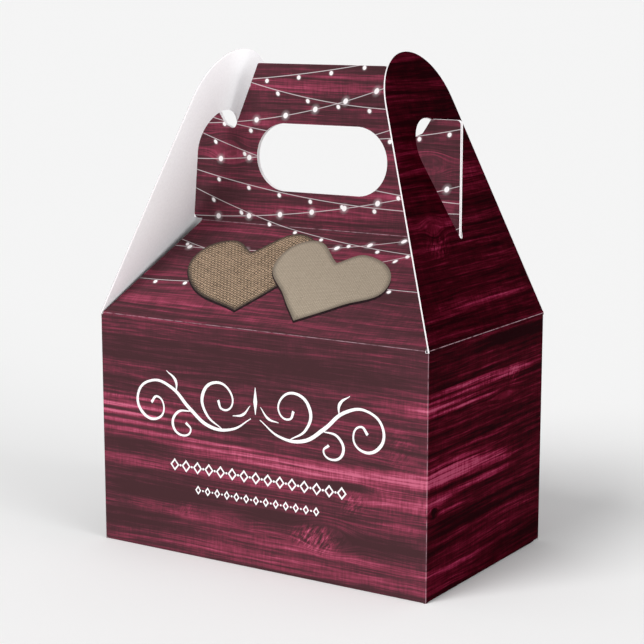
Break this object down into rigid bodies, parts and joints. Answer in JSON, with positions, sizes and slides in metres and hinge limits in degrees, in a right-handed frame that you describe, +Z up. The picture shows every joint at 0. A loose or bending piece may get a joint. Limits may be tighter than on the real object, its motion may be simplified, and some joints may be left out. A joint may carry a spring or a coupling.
{
  "type": "gable-top favour box",
  "caption": "Folded card favour box with a gable roof, a two-panel carrying handle, hooked gable flaps and a snap-lock bottom.",
  "frame": {"origin": "under the middle of the base, on the surface that the box stands on", "axes": "+Z up, front panel faces -Y, +X to the right along the front"},
  "size_m": [0.1016, 0.0636, 0.1335],
  "materials": {
    "printed_card": "white-backed card printed with a burgundy wood-grain pattern, semi-matt coating",
    "white_card": "uncoated white back of the card"
  },
  "bodies": {
    "carton": {"front_panel": "printed_card", "back_panel": "printed_card", "left_side_panel": "printed_card", "right_side_panel": "printed_card", "glue_flap": "white_card", "front_bottom_flap": "printed_card", "back_bottom_flap": "printed_card", "left_bottom_flap": "printed_card", "right_bottom_flap": "printed_card"},
    "left_flap": {"left_gable_flap": "printed_card"},
    "right_flap": {"right_gable_flap": "printed_card"},
    "front_roof": {"front_roof_panel": "printed_card"},
    "back_roof": {"back_roof_panel": "printed_card"},
    "front_handle": {"front_handle_panel": "printed_card"},
    "back_handle": {"back_handle_panel": "printed_card"}
  },
  "joints": [
    {"name": "left_flap_fold", "type": "hinge", "parent": "carton", "child": "left_flap", "pos_m": [-0.0508, 0, 0.0635], "axis": [0, -1, 0], "range_deg": [0, 150]},
    {"name": "right_flap_fold", "type": "hinge", "parent": "carton", "child": "right_flap", "pos_m": [0.0508, 0, 0.0635], "axis": [0, 1, 0], "range_deg": [0, 150]},
    {"name": "front_roof_fold", "type": "hinge", "parent": "carton", "child": "front_roof", "pos_m": [0, -0.03175, 0.0635], "axis": [1, 0, 0], "range_deg": [0, 120], "deforming": ["left_gable_flap", "right_gable_flap"]},
    {"name": "back_roof_fold", "type": "hinge", "parent": "carton", "child": "back_roof", "pos_m": [0, 0.03175, 0.0635], "axis": [-1, 0, 0], "range_deg": [0, 120], "deforming": ["left_gable_flap", "right_gable_flap"]},
    {"name": "front_handle_fold", "type": "hinge", "parent": "front_roof", "child": "front_handle", "pos_m": [0, -0.0006, 0.086], "axis": [1, 0, 0], "range_deg": [0, 110]},
    {"name": "back_handle_fold", "type": "hinge", "parent": "back_roof", "child": "back_handle", "pos_m": [0, 0.0006, 0.086], "axis": [-1, 0, 0], "range_deg": [0, 110]}
  ]
}
